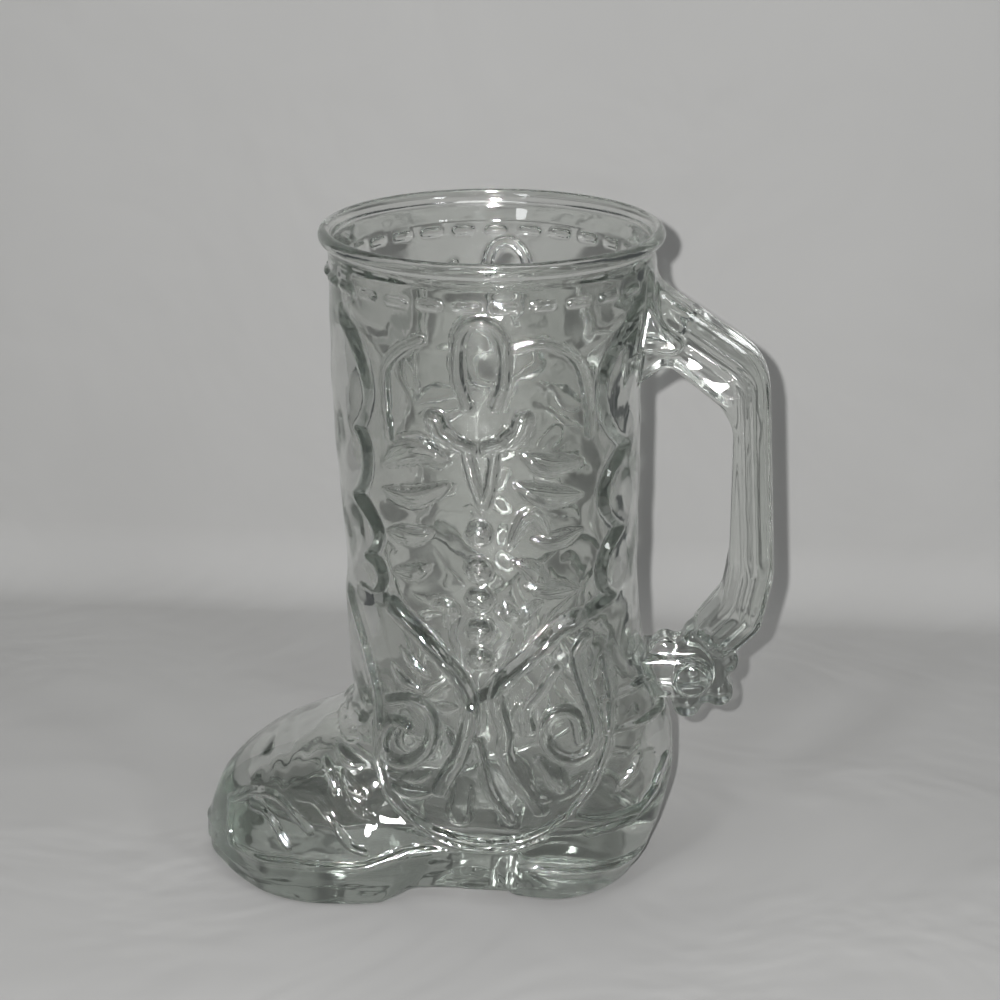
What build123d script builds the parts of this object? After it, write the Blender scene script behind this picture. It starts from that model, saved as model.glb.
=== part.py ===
from build123d import *
import os
from math import cos, pi, radians, sin

# A clear glass mug in the shape of a western boot, with a handle at its back and a spur at its heel.
# The glass is one moulding. It is divided here where the parts of the boot meet, and each raised ornament
# is a piece of its own that sits on the glass under it. Places along the boot are measured from the leg's
# axis, with +X toward the handle, and heights from the table.

os.makedirs("parts", exist_ok=True)

# Driving dimensions, in millimetres
height = 155.2
rim_diameter = 76.5
rim_bead_diameter = 3.4
rim_depth = 5.2
neck_diameter = 72.2
neck_depth = 14.2
ankle_diameter = 66.6
ankle_level = 75.3
neck_wall = 3.4
wall = 4.0
toe_reach = 68.6
counter_reach = 42.7
handle_reach = 63.9
overrun = 5.0

# The origin is on the table, midway between the toe's tip and the handle's back
leg_x = (toe_reach - handle_reach) / 2
leg_axis = Axis((leg_x, 0, 0), (0, 0, 1))
side = Plane(origin=(leg_x, 0, 0), x_dir=(1, 0, 0), z_dir=(0, -1, 0))
rim_radius = rim_diameter / 2
neck_radius = neck_diameter / 2
ankle_radius = ankle_diameter / 2
bead_radius = rim_bead_diameter / 2
rim_level = height - rim_depth
neck_level = height - neck_depth

# The sole and heel
sole_half_width = 27.8
heel_half_width = 20.9
heel_ground_reach = 33.3
heel_welt_reach = 38.6
welt_lip = 0.9
heel_flare = 2.4
welt_level = 10.3
seam_x = -1.7
arch_start = -25.0
arch_end = 8.0
arch_height = 6.2
floor_level = 15.5

# Station from toe to heel as a share of the sole's length, and half width as a share of the ball's or heel's
ball_outline_shares = [
    (0.005, 0.085), (0.02, 0.19), (0.048, 0.345), (0.10, 0.625), (0.155, 0.81), (0.23, 0.96), (0.31, 1.0),
    (0.39, 0.97), (0.49, 0.88),
]
heel_outline_shares = [(0.60, 1.07), (0.70, 1.0), (0.795, 1.0), (0.86, 0.94), (0.925, 0.76), (0.975, 0.46)]
# The welt's height in side view: reach along the toe or counter, and level as a share of the welt's level
welt_toe_shares = [(-1.1, 0.93), (-0.78, 0.87), (-0.58, 1.0), (-0.42, 1.04), (-0.24, 1.29), (-0.09, 1.28)]
welt_heel_shares = [(0.12, 1.01), (0.38, 0.89), (0.68, 0.80), (1.1, 0.76)]
# The arch in side view: a share of the arch's run and of its height
arch_shares = [
    (0.14, 0.18), (0.27, 0.56), (0.43, 0.88), (0.59, 1.0), (0.73, 0.86), (0.82, 0.52), (0.91, 0.15),
]

# The ankle and heel counter in plan, level by level: the level as a share of the ankle's, the reach to the
# back as a share of the counter's, and the reach to the front and the half width as shares of the ankle's
column_shares = [
    (1.0, 0.78, 1.0, 1.0), (0.73, 0.845, 0.994, 0.955), (0.557, 0.965, 0.949, 0.885),
    (0.399, 1.0, 0.90, 0.815), (0.266, 0.974, 0.85, 0.765), (0.16, 0.92, 0.80, 0.735),
    (0.067, 0.86, 0.78, 0.71),
]
# The vamp in cross section, toe to ankle: the reach as a share of the toe's, the half width as a share of the
# sole's, and the ridge's level as a share of the vamp's
vamp_height = 43.5
vamp_base_level = 5.0
toe_nose = 3.0
vamp_fullness = 2.4
vamp_shares = [
    (0.990, 0.125, 0.27), (0.962, 0.225, 0.42), (0.904, 0.405, 0.554), (0.845, 0.585, 0.646),
    (0.773, 0.77, 0.729), (0.641, 0.935, 0.828), (0.496, 0.97, 0.926), (0.32, 0.92, 1.0),
    (0.146, 0.81, 1.01), (0.0, 0.70, 1.01),
]

# The handle and its strap ends
handle_width = 15.0
handle_depth = 9.7
handle_bevel = 2.6
handle_round = 1.6
strap_width = 21.0
# The handle's grip, its outer side as shares of the handle's reach and of the height, and its inner upper
# corner's level as a share of the height
grip_outer_shares = [(0.945, 0.818), (1.0, 0.43)]
grip_inner_level_share = 0.745
# Its upper root and the strap ends, as shares of the neck's radius and of the height
root_outer_shares = [(0.982, 0.957), (1.023, 0.916)]
root_inner_shares = [(1.159, 0.807), (0.832, 0.812)]
strap_shares = [
    (0.832, 0.949), (0.991, 0.949), (1.005, 0.908), (1.039, 0.882), (1.083, 0.867), (1.133, 0.857),
    (1.175, 0.846), (1.175, 0.840), (1.136, 0.831), (1.039, 0.832), (0.832, 0.833),
]
# The grip's lower inner corner stands this much nearer the leg than its upper one
grip_lean = 0.8
# Its foot, from the rowel's centre: how far back its outer corner lies as a share of the way to the handle's
# reach, where its inner corner meets the rowel as a share of the rowel's diameter, and the levels of the
# outer corner, the inner corner and the grip's lower inner corner as shares of the rowel's diameter
grip_foot_back_share = 0.4455
grip_foot_front_share = 0.045
grip_foot_level_shares = (0.147, 0.490, 0.916)
# Its corners' radii as shares of the handle's reach, outer side then inner side
handle_outer_round_shares = [0.12, 0.22, 0.13]
handle_inner_round_shares = [0.10, 0.16, 0.08]

# The spur
spur_stand = 3.9
rowel_x = counter_reach + spur_stand
rowel_level = 51.0
rowel_diameter = 22.6
rowel_thickness = 9.0
rowel_lobes = 6
rowel_first_lobe = 23.0
rowel_lobe_share = 0.34
rowel_body_share = 0.74
hub_diameter = 8.0
hub_stand = 1.2
yoke_height = 9.6
yoke_width = 15.6
band_reach = 25.0

# The ornament
relief = 1.3
piping_width = 2.7
cord_width = 3.2
line_width = 1.3
horn_width = 2.1
stitch_length = 5.3
stitch_height = 2.6
stitch_relief = 0.9
stitch_depth = 9.6
stitch_count = 28
stitch_phase_share = 0.25
stud_diameter = 5.3
# Places on the leg's side: shares of the ankle's radius, and of the rise from the ankle to the mouth
front_scallop_shares = [
    (-0.91, 0.782), (-0.745, 0.631), (-0.81, 0.491), (-0.745, 0.398), (-0.83, 0.285), (-0.71, 0.200),
    (-0.75, 0.116), (-0.66, 0.077), (-0.69, 0.009),
]
back_scallop_shares = [
    (0.95, 0.781), (0.765, 0.612), (0.92, 0.417), (0.78, 0.310), (0.89, 0.188), (0.775, 0.087),
    (0.84, 0.0),
]
strap_loop_shares = [(-0.07, 0.612), (-0.12, 0.782), (0.0, 0.829), (0.12, 0.782), (0.07, 0.612)]
horn_shares = [(-0.28, 0.565), (-0.24, 0.524), (-0.15, 0.503), (-0.04, 0.485)]
stem_shares = [(-0.075, 0.476), (0.075, 0.476), (0.02, 0.330), (-0.02, 0.330)]
leg_stud_shares = [0.241, 0.136, 0.048]
pleat_shares = [
    [(0.2, 0.477), (0.42, 0.470), (0.66, 0.441)],
    [(0.2, 0.386), (0.42, 0.355), (0.66, 0.338)],
    [(0.3, 0.248), (0.46, 0.223), (0.63, 0.211)],
    [(0.24, 0.116), (0.42, 0.106), (0.6, 0.116)],
    [(0.26, 0.068), (0.42, 0.052), (0.6, 0.042)],
]
# Places on the foot's side: shares of the ankle's radius and of the ankle's level
foot_stud_shares = [0.950, 0.857]
front_cord_shares = [
    (-0.63, 0.996), (-0.4, 0.927), (-0.23, 0.845), (-0.12, 0.783), (-0.08, 0.717), (-0.08, 0.660),
    (-0.15, 0.530), (-0.27, 0.443),
]
back_cord_shares = [
    (0.63, 0.969), (0.39, 0.892), (0.23, 0.831), (0.12, 0.775), (0.11, 0.717), (0.15, 0.629),
    (0.18, 0.524), (0.39, 0.361),
]
scroll_turns = 1.35
scroll_steps = 12
scroll_radius = 8.3
scroll_line_width = 2.2
scroll_lean = 30.0
scroll_wind_share = 0.72
scroll_width_share = 0.8
front_scroll_share = (-0.52, 0.573)
back_scroll_share = (0.59, 0.602)
drop_share = (-0.16, 0.367)
drop_width = 5.0
drop_height = 13.0
foot_line_shares = [
    (-0.77, 0.254), (-0.56, 0.237), (-0.38, 0.214), (-0.06, 0.218), (0.29, 0.247), (0.43, 0.289),
    (0.61, 0.330), (0.8, 0.301), (0.97, 0.293),
]
# Places on the vamp's side as shares of the toe's reach and of the vamp's height
toe_line_shares = [
    [(-0.89, 0.43), (-0.81, 0.52), (-0.73, 0.556), (-0.68, 0.535), (-0.63, 0.48), (-0.58, 0.41)],
    [(-0.80, 0.455), (-0.745, 0.46), (-0.70, 0.405), (-0.67, 0.345)],
    [(-0.62, 0.57), (-0.565, 0.565), (-0.52, 0.50), (-0.445, 0.35)],
]
# Stitches round the heel counter: places on the foot's side, and the slope in degrees
counter_stitch_shares = [(0.8, 0.243, 5.0), (0.97, 0.258, 20.0), (1.12, 0.311, 50.0), (1.21, 0.392, 68.0)]


def on_leg(shares):
    """Places on the leg's side: shares of the ankle's radius, and of the rise from the ankle to the mouth."""
    return [(x * ankle_radius, ankle_level + z * (height - ankle_level)) for x, z in shares]


def on_foot(shares):
    """Places on the foot's side: shares of the ankle's radius and of the ankle's level."""
    return [(x * ankle_radius, z * ankle_level) for x, z in shares]


def leg_face(outer_growth, inner_growth):
    """Half section of the leg's wall between two surfaces grown from its outer one."""
    waist_share = 0.45
    waist_level = ankle_level + waist_share * (neck_level - ankle_level)
    waist_sag = 0.6
    waist_radius = ankle_radius + waist_share * (neck_radius - ankle_radius) - waist_sag

    def wall_points(growth):
        return [
            (ankle_radius + growth, ankle_level),
            (waist_radius + growth, waist_level),
            (neck_radius + growth, neck_level),
        ]

    outer = wall_points(outer_growth)
    inner = wall_points(inner_growth)
    inner_top = (neck_radius + min(inner_growth, 0) * neck_wall / wall, rim_level)
    with BuildSketch(side) as face:
        with BuildLine():
            Spline(*outer, tangents=[(0, 1), (0, 1)])
            Polyline(outer[2], (outer[2][0], rim_level), inner_top, inner[2])
            Spline(*inner, tangents=[(0, 1), (0, 1)])
            Line(inner[0], outer[0])
        make_face()
    return face.sketch


def plan_outline(reach_back, lip, flare):
    """Closed outline of the sole in plan, mirrored about the boot's middle."""
    length = toe_reach + reach_back
    half = [(s * length - toe_reach, w * sole_half_width + lip) for s, w in ball_outline_shares]
    half += [(s * length - toe_reach, w * heel_half_width + flare) for s, w in heel_outline_shares]
    near = [(x, -y) for x, y in half]
    far = [(x, y) for x, y in reversed(half)]
    return [(-toe_reach, 0)] + near + [(reach_back, 0)] + far


def welt_line():
    """The line in side view where the upper meets the sole."""
    toe = [(x * toe_reach, z * welt_level) for x, z in welt_toe_shares]
    heel = [(x * counter_reach, z * welt_level) for x, z in welt_heel_shares]
    return toe + heel


def column_solid(growth):
    """The ankle and heel counter, from the ankle's plane down into the sole."""
    with BuildPart() as column:
        for level, back, front, half_width in column_shares:
            back_x = back * counter_reach
            front_x = front * ankle_radius
            middle = (back_x - front_x) / 2
            with BuildSketch(Plane(origin=(leg_x + middle, 0, level * ankle_level))):
                Ellipse((back_x + front_x) / 2 + growth, half_width * ankle_radius + growth)
        loft()
    return column.part


def vamp_solid(growth, base_level):
    """The vamp as a row of domed cross sections from the toe into the ankle."""
    dome_steps = 6
    with BuildPart() as vamp:
        for reach, half_width, ridge in vamp_shares:
            half = half_width * sole_half_width + growth
            top = ridge * vamp_height + growth
            if half < toe_nose:
                continue
            x = -reach * toe_reach - growth * reach
            dome = []
            for step in range(2 * dome_steps + 1):
                angle = pi * step / (2 * dome_steps)
                across = abs(cos(angle)) ** (2 / vamp_fullness)
                up = sin(angle) ** (2 / vamp_fullness)
                way = 1 if angle < pi / 2 else -1
                dome.append((half * across * way, base_level + (top - base_level) * up))
            dome[-1] = (-half, base_level)
            with BuildSketch(Plane(origin=(leg_x + x, 0, 0), x_dir=(0, 1, 0), z_dir=(1, 0, 0))):
                with BuildLine():
                    Spline(*dome)
                    Line(dome[-1], dome[0])
                make_face()
        loft()
    return vamp.part


def above_welt():
    """The space above the line where the upper meets the sole."""
    line = welt_line()
    with BuildPart() as space:
        with BuildSketch(side):
            with BuildLine():
                Spline(*line)
                Polyline(line[-1], (line[-1][0], height), (line[0][0], height), line[0])
            make_face()
        extrude(amount=neck_radius + overrun, both=True)
    return space.part


upper_space = above_welt()

# The foot's outer form, and the same form grown by the relief's height
foot_outer = column_solid(0) + vamp_solid(0, vamp_base_level)
foot_grown = column_solid(relief) + vamp_solid(relief, vamp_base_level)

# The hollow inside the foot stops at the floor
with BuildPart() as foot_hollow:
    add(column_solid(-wall))
    add(vamp_solid(-wall, floor_level))
    with BuildSketch(Plane.XY.offset(-overrun)):
        Rectangle(4 * toe_reach, 4 * sole_half_width)
    extrude(amount=floor_level + overrun, mode=Mode.SUBTRACT)

# The leg: a tapered hollow wall from the ankle to the rim
with BuildPart() as leg:
    add(leg_face(0, -wall))
    revolve(axis=leg_axis)
leg.part.label = "leg"

# The rim: a round bead with a slope inside that meets the wall
with BuildPart() as rim:
    bead_x = rim_radius - bead_radius
    bead_level = height - bead_radius
    with BuildSketch(side):
        with Locations((bead_x, bead_level)):
            Circle(bead_radius)
        with BuildLine():
            Polyline(
                (neck_radius - neck_wall, rim_level),
                (neck_radius, rim_level),
                (bead_x + bead_radius / 2, bead_level - bead_radius / 2),
                (bead_x - bead_radius / 2, bead_level + bead_radius / 2),
                close=True,
            )
        make_face()
    revolve(axis=leg_axis)
rim.part.label = "rim"

# The foot: the hollow upper that stands on the sole
with BuildPart() as foot:
    add(foot_outer)
    add(upper_space, mode=Mode.INTERSECT)
    add(foot_hollow.part, mode=Mode.SUBTRACT)
foot.part.label = "foot"

# The thick bottom, from the ground and the arch up to the welt, in one form before it is parted
with BuildPart() as bottom:
    with BuildSketch(Plane(origin=(leg_x, 0, 0))):
        with BuildLine():
            Spline(*plan_outline(heel_ground_reach, 0, 0), periodic=True)
        make_face()
    with BuildSketch(Plane(origin=(leg_x, 0, welt_level))):
        with BuildLine():
            Spline(*plan_outline(heel_welt_reach, welt_lip, heel_flare), periodic=True)
        make_face()
    with BuildSketch(Plane(origin=(leg_x, 0, 2 * welt_level))):
        with BuildLine():
            Spline(*plan_outline(heel_welt_reach, welt_lip, heel_flare), periodic=True)
        make_face()
    loft(ruled=True)
    add(upper_space, mode=Mode.SUBTRACT)
    with BuildSketch(side):
        with BuildLine():
            run = arch_end - arch_start
            arch = [(arch_start + s * run, h * arch_height) for s, h in arch_shares]
            Spline((arch_start, 0), *arch, (arch_end, 0), tangents=[(1, 0), (1, 0)])
            Line((arch_end, 0), (arch_start, 0))
        make_face()
    extrude(amount=sole_half_width + overrun, both=True, mode=Mode.SUBTRACT)

seam = Plane(origin=(leg_x + seam_x, 0, 0), x_dir=(0, 1, 0), z_dir=(1, 0, 0))

with BuildPart() as sole:
    add(bottom.part)
    split(bisect_by=seam, keep=Keep.BOTTOM)
sole.part.label = "sole"

with BuildPart() as heel:
    add(bottom.part)
    split(bisect_by=seam, keep=Keep.TOP)
heel.part.label = "heel"


# The leg without its hollow, and the thin skins over the leg and the foot in which the ornament stands
with BuildPart() as leg_core:
    add(leg_face(0, -ankle_radius))
    revolve(axis=leg_axis)

with BuildPart() as leg_skin:
    add(leg_face(relief, 0))
    revolve(axis=leg_axis)

with BuildPart() as foot_skin:
    add(foot_grown)
    add(upper_space, mode=Mode.INTERSECT)
    add(foot_outer, mode=Mode.SUBTRACT)

# The rowel: rounded lobes round a disc, cast in one with its hub
with BuildPart() as spur_rowel:
    lobe_radius = rowel_lobe_share * rowel_diameter / 2
    with BuildSketch(side):
        with Locations((rowel_x, rowel_level)):
            Circle(rowel_body_share * rowel_diameter / 2)
            with PolarLocations(rowel_diameter / 2 - lobe_radius, rowel_lobes, start_angle=rowel_first_lobe):
                Circle(lobe_radius)
    extrude(amount=rowel_thickness / 2, both=True)
    fillet(spur_rowel.faces().filter_by(Plane.XZ).edges(), radius=lobe_radius / 3)
    add(foot_outer, mode=Mode.SUBTRACT)
spur_rowel.part.label = "spur_rowel"

# The yoke: two cheeks from the counter that hold the rowel between them, with a hub boss on each
with BuildPart() as spur_yoke:
    with BuildSketch(side):
        with Locations((rowel_x, rowel_level)):
            Circle(yoke_height / 2)
        with Locations(((rowel_x + ankle_radius - wall) / 2, rowel_level)):
            Rectangle(rowel_x - ankle_radius + wall, yoke_height)
    extrude(amount=yoke_width / 2, both=True)
    with BuildSketch(side):
        with Locations((rowel_x, rowel_level)):
            Circle(hub_diameter / 2)
    extrude(amount=yoke_width / 2 + hub_stand, both=True)
    with BuildSketch(side):
        with Locations((rowel_x, rowel_level)):
            Rectangle(2 * rowel_diameter, 2 * rowel_diameter)
    extrude(amount=rowel_thickness / 2, both=True, mode=Mode.SUBTRACT)
    add(foot_outer, mode=Mode.SUBTRACT)
spur_yoke.part.label = "spur_yoke"

# The handle: a flat bar with bevelled outer edges, seated on the leg above and on the rowel below
with BuildPart() as handle:
    outer = [(x * neck_radius, z * height) for x, z in root_outer_shares]
    outer += [(x * handle_reach, z * height) for x, z in grip_outer_shares]
    foot_levels = [rowel_level + share * rowel_diameter for share in grip_foot_level_shares]
    outer += [(rowel_x + grip_foot_back_share * (handle_reach - rowel_x), foot_levels[0])]
    inner = [(rowel_x + grip_foot_front_share * rowel_diameter, foot_levels[1])]
    inner += [(handle_reach - handle_depth - grip_lean, foot_levels[2])]
    inner += [(handle_reach - handle_depth, grip_inner_level_share * height)]
    inner += [(x * neck_radius, z * height) for x, z in root_inner_shares]
    outer_rounds = [share * handle_reach for share in handle_outer_round_shares]
    inner_rounds = [share * handle_reach for share in handle_inner_round_shares]
    with BuildSketch(side):
        with BuildLine():
            outer_path = FilletPolyline(*outer, radius=outer_rounds)
            inner_path = FilletPolyline(*inner, radius=inner_rounds)
            Line(outer[-1], inner[0])
            Polyline(inner[-1], (inner[-1][0], outer[0][1]), outer[0])
        make_face()
    extrude(amount=handle_width / 2, both=True)

    def along(path):
        """Edges of the bar's two flat sides that follow a path of its outline."""
        middles = [edge.center() for edge in path.edges()]
        found = []
        for edge in handle.faces().filter_by(Plane.XZ).edges():
            middle = edge.center()
            if any(abs(middle.X - leg_x - m.X) + abs(middle.Z - m.Y) < handle_round / 10 for m in middles):
                found.append(edge)
        return found

    chamfer(along(outer_path), length=handle_bevel)
    fillet(along(inner_path), radius=handle_round)
    add(leg_core.part, mode=Mode.SUBTRACT)
    add(spur_rowel.part, mode=Mode.SUBTRACT)
handle.part.label = "handle"

# The strap ends that lap the handle's upper root on both sides
with BuildPart() as handle_straps:
    strap = [(x * neck_radius, z * height) for x, z in strap_shares]
    with BuildSketch(side):
        with BuildLine():
            Polyline(*strap, close=True)
        make_face()
    extrude(amount=strap_width / 2, both=True)
    add(handle.part, mode=Mode.SUBTRACT)
    add(leg_core.part, mode=Mode.SUBTRACT)
handle_straps.part.label = "handle_straps"

# The spur's band, raised on the counter ahead of the yoke
with BuildPart() as spur_band:
    with BuildSketch(side):
        with Locations(((band_reach + counter_reach + overrun) / 2, rowel_level)):
            Rectangle(counter_reach + overrun - band_reach, yoke_height)
    extrude(amount=neck_radius, both=True)
    add(foot_skin.part, mode=Mode.INTERSECT)
    add(spur_yoke.part, mode=Mode.SUBTRACT)
    add(spur_rowel.part, mode=Mode.SUBTRACT)
spur_band.part.label = "spur_band"


def in_skin(face, skin):
    """What a face drawn in side view cuts out of a skin, on both sides of the boot."""
    with BuildPart() as cut:
        extrude(face, amount=neck_radius + overrun, both=True)
        add(skin.part, mode=Mode.INTERSECT)
    return cut.part


def raised(label, face, *skins):
    """Ornament drawn in side view, standing out of both sides of the boot by the skin's thickness."""
    cuts = [in_skin(face, skin) for skin in skins]
    with BuildPart() as ornament:
        add(cuts)
    ornament.part.label = label
    return ornament.part


def smooth_line(points, width):
    """A line of even width through points in side view."""
    with BuildSketch(side) as face:
        with BuildLine() as path:
            Spline(*points)
        trace(path.line, line_width=width)
    return face.sketch


def scallops(shares):
    """A scalloped line: every second point is a cusp, with an arc from one to the next."""
    points = on_leg(shares)
    with BuildSketch(side) as face:
        for first in range(0, len(points) - 2, 2):
            with BuildLine() as path:
                ThreePointArc(points[first], points[first + 1], points[first + 2])
            trace(path.line, line_width=piping_width)
    return face.sketch


def scroll(centre_share, turn):
    """A volute that winds in from above, clockwise for a turn of -1."""
    (centre_x, centre_z), = on_foot([centre_share])
    points = []
    for step in range(scroll_steps + 1):
        part = step / scroll_steps
        angle = pi / 2 - turn * radians(scroll_lean) + turn * 2 * pi * scroll_turns * part
        radius = scroll_radius * (1 - scroll_wind_share * part)
        points.append((centre_x + scroll_width_share * radius * cos(angle), centre_z + radius * sin(angle)))
    return smooth_line(points, scroll_line_width)


front_piping = raised("front_piping", scallops(front_scallop_shares), leg_skin)
back_piping = raised("back_piping", scallops(back_scallop_shares), leg_skin)
cord_face = smooth_line(on_foot(front_cord_shares), cord_width)
cord_face += smooth_line(on_foot(back_cord_shares), cord_width)
throat_cords = raised("throat_cords", cord_face, foot_skin)
scrolls = raised("scrolls", scroll(front_scroll_share, -1) + scroll(back_scroll_share, 1), foot_skin)
foot_line = raised("foot_line", smooth_line(on_foot(foot_line_shares), line_width), foot_skin)

mirrored_pleats = [[(-x, z) for x, z in pleat] for pleat in pleat_shares]
with BuildSketch(side) as pleat_face:
    for pleat in pleat_shares + mirrored_pleats:
        with BuildLine() as path:
            Spline(*on_leg(pleat))
        trace(path.line, line_width=line_width)
pleats = raised("pleats", pleat_face.sketch, leg_skin)

with BuildSketch(side) as strap_face:
    loop = on_leg(strap_loop_shares)
    with BuildLine() as path:
        Spline(*loop)
    trace(path.line, line_width=line_width)
    for way in (-1, 1):
        with BuildLine() as path:
            Spline(*[(way * x, z) for x, z in on_leg(horn_shares)])
        trace(path.line, line_width=horn_width)
    with BuildLine():
        Polyline(*on_leg(stem_shares), close=True)
    make_face()
pull_straps = raised("pull_straps", strap_face.sketch, leg_skin)

with BuildSketch(side) as stud_face:
    stud_places = on_leg([(0, share) for share in leg_stud_shares])
    stud_places += on_foot([(0, share) for share in foot_stud_shares])
    with Locations(*stud_places):
        Circle(stud_diameter / 2)
studs = raised("studs", stud_face.sketch, leg_skin, foot_skin)

with BuildSketch(side) as drop_face:
    (drop_x, drop_z), = on_foot([drop_share])
    with BuildLine():
        Spline(
            (drop_x, drop_z + drop_height / 2),
            (drop_x - drop_width / 2, drop_z - drop_height / 5),
            (drop_x, drop_z - drop_height / 2),
            (drop_x + drop_width / 2, drop_z - drop_height / 5),
            (drop_x, drop_z + drop_height / 2),
        )
    make_face()
with BuildPart() as drops:
    add(raised("drops", drop_face.sketch, foot_skin))
    add(throat_cords, mode=Mode.SUBTRACT)
drops.part.label = "drops"

with BuildSketch(side) as toe_face:
    for toe_line in toe_line_shares:
        with BuildLine() as path:
            Spline(*[(x * toe_reach, z * vamp_height) for x, z in toe_line])
        trace(path.line, line_width=line_width)
toe_stitches = raised("toe_stitches", toe_face.sketch, foot_skin)

with BuildSketch(side) as counter_face:
    for x, z, slope in counter_stitch_shares:
        with Locations(Location(on_foot([(x, z)])[0], slope)):
            Rectangle(stitch_length, line_width)
counter_stitches = raised("counter_stitches", counter_face.sketch, foot_skin)

# The ring of raised stitches under the rim, left out where the handle's root covers it
with BuildPart() as stitch:
    with BuildSketch(side):
        with Locations((neck_radius + stitch_relief / 2, height - stitch_depth)):
            Rectangle(stitch_relief, stitch_height)
    revolve(axis=leg_axis, revolution_arc=360 * stitch_length / (pi * neck_diameter))

with BuildPart() as stitch_band:
    for number in range(stitch_count):
        turn = 360 * (number + stitch_phase_share) / stitch_count
        if cos(radians(turn)) * neck_radius < neck_radius - strap_width / 4:
            add(stitch.part.rotate(leg_axis, turn))
stitch_band.part.label = "stitch_band"

pieces = [
    leg.part, rim.part, foot.part, sole.part, heel.part, handle.part, handle_straps.part, spur_rowel.part,
    spur_yoke.part, spur_band.part, front_piping, back_piping, throat_cords, scrolls, foot_line, pleats,
    pull_straps, studs, drops.part, toe_stitches, counter_stitches, stitch_band.part,
]
for piece in pieces:
    export_step(piece, f"parts/{piece.label}.step")
    print(piece.label, len(piece.solids()), round(piece.volume))
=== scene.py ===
from math import cos, pi, radians, sin, tau

import bpy
import numpy as np
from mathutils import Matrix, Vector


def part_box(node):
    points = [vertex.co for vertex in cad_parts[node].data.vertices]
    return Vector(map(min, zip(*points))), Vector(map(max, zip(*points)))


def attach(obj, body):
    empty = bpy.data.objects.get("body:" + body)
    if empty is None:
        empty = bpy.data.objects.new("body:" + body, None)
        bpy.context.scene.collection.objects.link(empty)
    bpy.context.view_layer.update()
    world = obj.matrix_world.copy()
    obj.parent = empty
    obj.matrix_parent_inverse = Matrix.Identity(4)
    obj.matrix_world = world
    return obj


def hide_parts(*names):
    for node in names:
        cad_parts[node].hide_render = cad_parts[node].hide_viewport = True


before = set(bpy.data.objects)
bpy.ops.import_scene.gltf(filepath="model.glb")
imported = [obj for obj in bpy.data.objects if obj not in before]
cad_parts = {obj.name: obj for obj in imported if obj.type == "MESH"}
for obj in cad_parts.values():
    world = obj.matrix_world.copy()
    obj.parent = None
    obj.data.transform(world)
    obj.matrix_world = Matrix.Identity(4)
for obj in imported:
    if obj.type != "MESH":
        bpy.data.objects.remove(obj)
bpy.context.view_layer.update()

import openvdb
from mathutils import Vector

# The boot mug as one moulding of clear glass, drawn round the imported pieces. Lengths are in millimetres from
# the leg's axis, +X toward the handle, heights from the table, until the mesh is written in metres.
MM = 0.001


def node_box(name):
    """Lowest and highest corner of a CAD node in millimetres."""
    low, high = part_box(name)
    return np.array(low) / MM, np.array(high) / MM


leg_low, leg_high = node_box("leg")
rim_low, rim_high = node_box("rim")
sole_low, _ = node_box("sole")
_, foot_high = node_box("foot")
_, handle_high = node_box("handle")
_, strap_high = node_box("handle_straps")

LEG_X = (leg_low[0] + leg_high[0]) / 2
HEIGHT = rim_high[2]
RIM_LEVEL = rim_low[2]
NECK_R = (leg_high[0] - leg_low[0]) / 2
RIM_R = (rim_high[0] - rim_low[0]) / 2
TOE = LEG_X - sole_low[0]
COUNTER = foot_high[0] - LEG_X
REACH = handle_high[0] - LEG_X
HANDLE_HALF = handle_high[1]
STRAP_HALF = strap_high[1]

# Sizes of the glass itself
BEAD_R = 1.7
WALL = 4.7
NECK_WALL = 3.4
FLOOR_LEVEL = 15.5

# The grid that the glass is worked out on, over half the boot
VOXEL = 0.46
MARGIN = 3.0
FINE_STEP = 0.25
FAR = 1e9
TINY = 1e-6


def grid_axis(low, high):
    """Evenly spaced places that span a length with a margin, in step with zero."""
    first = int(np.floor((low - MARGIN) / VOXEL))
    last = int(np.ceil((high + MARGIN) / VOXEL))
    return np.arange(first, last + 1) * VOXEL


gx = grid_axis(-TOE, REACH)
gy = np.arange(0, int(np.ceil((RIM_R + MARGIN) / VOXEL)) + 1) * VOXEL
gz = grid_axis(0, HEIGHT)
X = gx[:, None, None].astype(np.float32)
Y = gy[None, :, None].astype(np.float32)
Z = gz[None, None, :].astype(np.float32)
SIDE_X, SIDE_Z = np.meshgrid(gx, gz, indexing="ij")
PLAN_X, PLAN_Y = np.meshgrid(gx, gy, indexing="ij")


def along(values_at, places, soften, grid):
    """A run of values over a grid axis, from given places, smoothed by a bell curve of width soften."""
    past = 40
    fine = np.arange(grid[0] - past, grid[-1] + past, FINE_STEP)
    table = np.interp(fine, places, values_at)
    reach = 3 * soften
    past_reach = 0.1
    kernel = np.exp(-0.5 * (np.arange(-reach, reach + past_reach, FINE_STEP) / soften) ** 2)
    table = np.convolve(np.pad(table, len(kernel) // 2, mode="edge"), kernel / kernel.sum(), mode="valid")
    return np.interp(grid, fine, table[:len(fine)]).astype(np.float32)


def smooth_path(points, steps=10, closed=False):
    """Catmull-Rom curve through points, as a dense list."""
    p = np.array(points, float)
    if closed:
        p = np.vstack([p[-1], p, p[0], p[1]])
    else:
        p = np.vstack([2 * p[0] - p[1], p, 2 * p[-1] - p[-2]])
    out = []
    for i in range(1, len(p) - 2):
        for s in np.arange(steps) / steps:
            a = 2 * p[i]
            b = p[i + 1] - p[i - 1]
            c = 2 * p[i - 1] - 5 * p[i] + 4 * p[i + 1] - p[i + 2]
            d = -p[i - 1] + 3 * p[i] - 3 * p[i + 1] + p[i + 2]
            out.append(0.5 * (a + b * s + c * s * s + d * s ** 3))
    out.append(p[-2])
    return np.array(out)


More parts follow.
